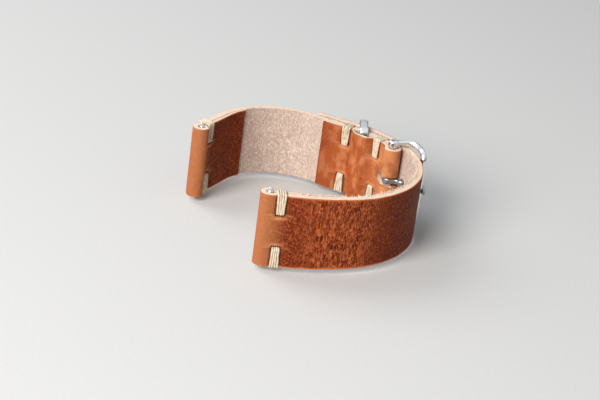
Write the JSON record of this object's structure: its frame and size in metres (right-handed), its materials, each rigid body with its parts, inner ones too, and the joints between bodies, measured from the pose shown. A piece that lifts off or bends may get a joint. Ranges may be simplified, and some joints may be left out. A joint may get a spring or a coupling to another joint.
{
  "type": "leather watch strap",
  "caption": "Two-piece leather watch strap buckled into a loop, with stitched lug folds, spring bars, a wire pin buckle, a tang and a steel keeper.",
  "frame": {"origin": "midway between the two lug spring bars, at half the strap's width", "axes": "+X from the watch towards the buckle, +Y towards the buckle piece's lug end, +Z along the spring bars, across the strap's width"},
  "size_m": [0.056, 0.0619, 0.023],
  "materials": {
    "leather": "pebbled brown grain, tan suede flesh side, pale cut edges",
    "thread": "waxed pale linen",
    "steel": "mirror-polished stainless steel",
    "spring_steel": "bright drawn wire"
  },
  "bodies": {
    "leather": {"long_strap": "leather", "short_strap": "leather", "long_lug_stitch_top": "thread", "long_lug_stitch_bottom": "thread", "short_lug_stitch_top": "thread", "short_lug_stitch_bottom": "thread", "keeper_stitch_top": "thread", "keeper_stitch_bottom": "thread", "buckle_stitch_top": "thread", "buckle_stitch_bottom": "thread"},
    "keeper": {"keeper": "steel"},
    "buckle_frame": {"buckle_frame": "steel"},
    "buckle_tang": {"buckle_tang": "steel"},
    "long_bar": {"long_bar_tube": "steel", "long_bar_spring": "spring_steel"},
    "long_tip_top": {"long_bar_tip_top": "steel"},
    "long_tip_bottom": {"long_bar_tip_bottom": "steel"},
    "short_bar": {"short_bar_tube": "steel", "short_bar_spring": "spring_steel"},
    "short_tip_top": {"short_bar_tip_top": "steel"},
    "short_tip_bottom": {"short_bar_tip_bottom": "steel"},
    "buckle_bar": {"buckle_bar_tube": "steel", "buckle_bar_spring": "spring_steel"},
    "buckle_tip_top": {"buckle_bar_tip_top": "steel"},
    "buckle_tip_bottom": {"buckle_bar_tip_bottom": "steel"}
  },
  "joints": [
    {"name": "keeper_slide", "type": "slide", "parent": "leather", "child": "keeper", "axis": [-0.4848, 0.8746, 0], "range_m": [-0.0006, 0.0006]},
    {"name": "buckle_frame_hinge", "type": "hinge", "parent": "leather", "child": "buckle_frame", "pos_m": [0.04629, -0.00138, 0], "axis": [0, 0, 1], "range_deg": [0, 3]},
    {"name": "tang_hinge", "type": "hinge", "parent": "buckle_frame", "child": "buckle_tang", "pos_m": [0.04629, -0.00138, 0], "axis": [0, 0, 1], "range_deg": [0, 3]},
    {"name": "long_bar_spin", "type": "hinge", "parent": "leather", "child": "long_bar", "pos_m": [0, -0.0207, 0], "axis": [0, 0, 1], "continuous": true},
    {"name": "long_tip_top_slide", "type": "slide", "parent": "long_bar", "child": "long_tip_top", "axis": [0, 0, -1], "range_m": [0, 0.00115], "stiffness_N_per_m": 1200, "deforming": ["long_bar_spring"]},
    {"name": "long_tip_bottom_slide", "type": "slide", "parent": "long_bar", "child": "long_tip_bottom", "axis": [0, 0, 1], "range_m": [0, 0.00115], "stiffness_N_per_m": 1200, "deforming": ["long_bar_spring"]},
    {"name": "short_bar_spin", "type": "hinge", "parent": "leather", "child": "short_bar", "pos_m": [0, 0.0207, 0], "axis": [0, 0, 1], "continuous": true},
    {"name": "short_tip_top_slide", "type": "slide", "parent": "short_bar", "child": "short_tip_top", "axis": [0, 0, -1], "range_m": [0, 0.00115], "stiffness_N_per_m": 1200, "deforming": ["short_bar_spring"]},
    {"name": "short_tip_bottom_slide", "type": "slide", "parent": "short_bar", "child": "short_tip_bottom", "axis": [0, 0, 1], "range_m": [0, 0.00115], "stiffness_N_per_m": 1200, "deforming": ["short_bar_spring"]},
    {"name": "buckle_bar_spin", "type": "hinge", "parent": "leather", "child": "buckle_bar", "pos_m": [0.04629, -0.00138, 0], "axis": [0, 0, 1], "continuous": true},
    {"name": "buckle_tip_top_slide", "type": "slide", "parent": "buckle_bar", "child": "buckle_tip_top", "axis": [0, 0, -1], "range_m": [0, 0.00115], "stiffness_N_per_m": 1200, "deforming": ["buckle_bar_spring"]},
    {"name": "buckle_tip_bottom_slide", "type": "slide", "parent": "buckle_bar", "child": "buckle_tip_bottom", "axis": [0, 0, 1], "range_m": [0, 0.00115], "stiffness_N_per_m": 1200, "deforming": ["buckle_bar_spring"]}
  ]
}
